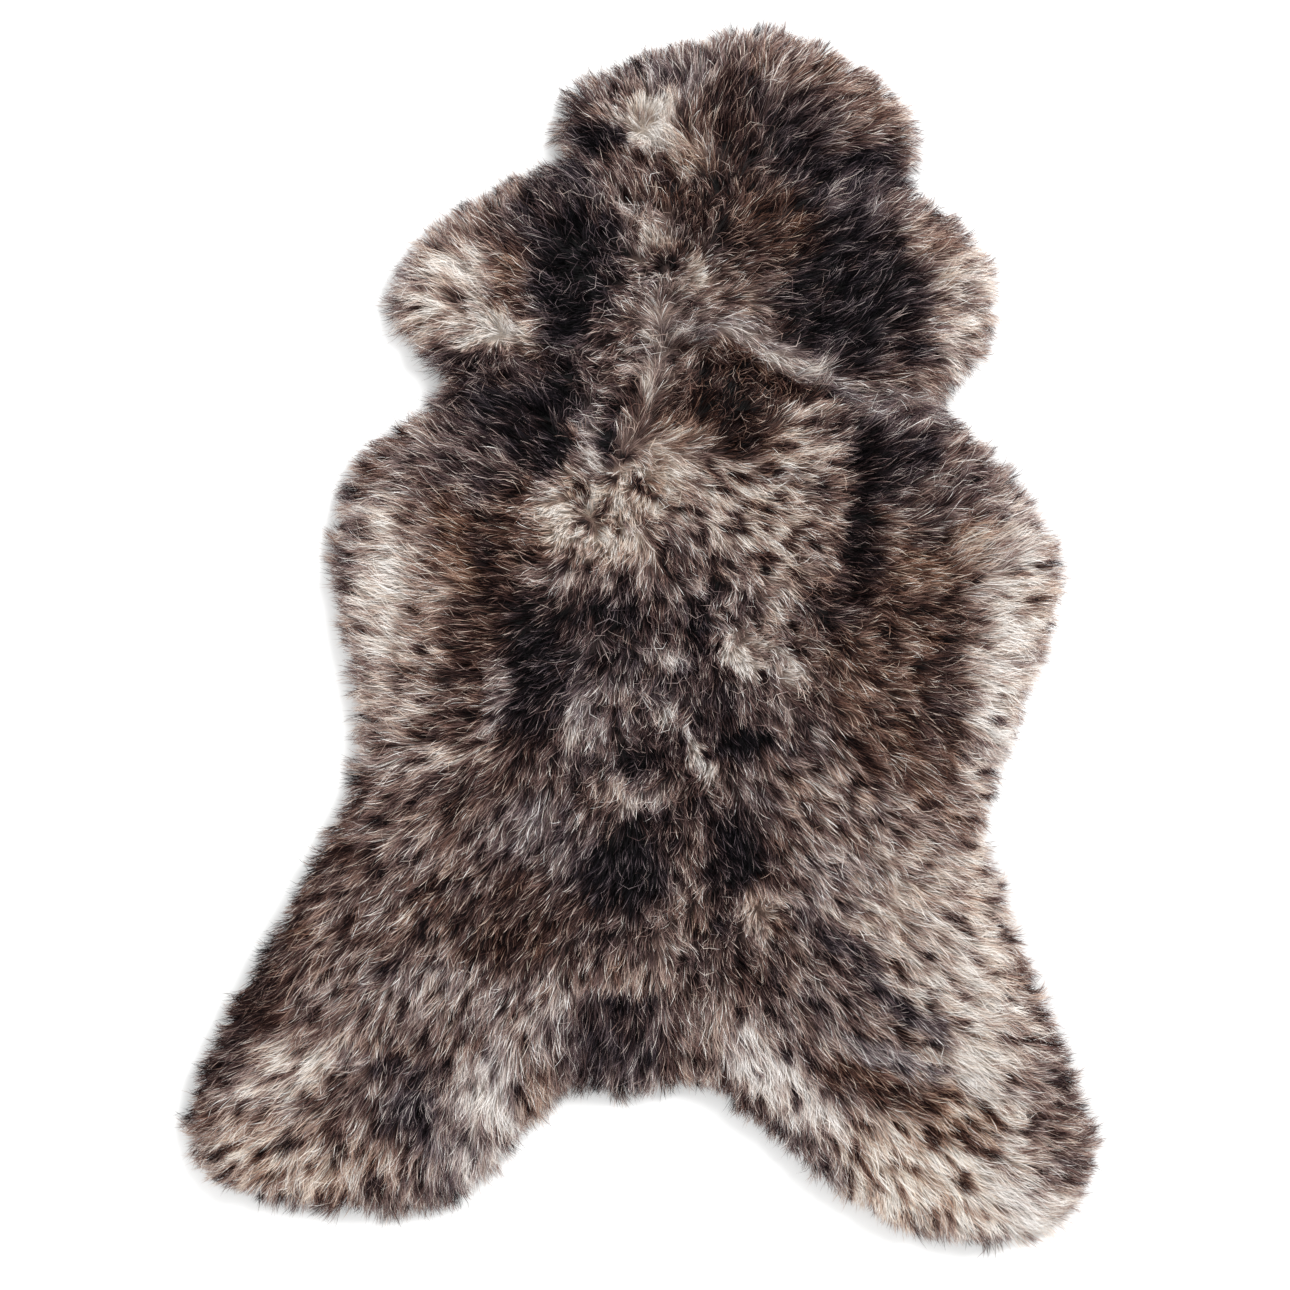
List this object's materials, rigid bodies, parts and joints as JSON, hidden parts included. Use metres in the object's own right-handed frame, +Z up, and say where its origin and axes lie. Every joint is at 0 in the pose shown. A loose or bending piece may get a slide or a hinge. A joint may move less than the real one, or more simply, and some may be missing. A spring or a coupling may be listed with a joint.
{
  "type": "sheepskin",
  "caption": "Whole tanned pelt with long, tufty mottled wool, lying flat on the floor as a rug.",
  "frame": {"origin": "on the floor, under the middle of the pelt's box", "axes": "+Y up the spine to the neck, +Z up out of the wool, +X to the right as seen from above with the neck away"},
  "size_m": [0.7758, 1.0398, 0.0469],
  "materials": {
    "skin": "pale suede, the flesh side of a tanned skin",
    "wool": "long natural wool, mottled black, brown, tan and cream"
  },
  "bodies": {
    "root": {"hide": "skin", "fleece": "wool"}
  },
  "joints": []
}
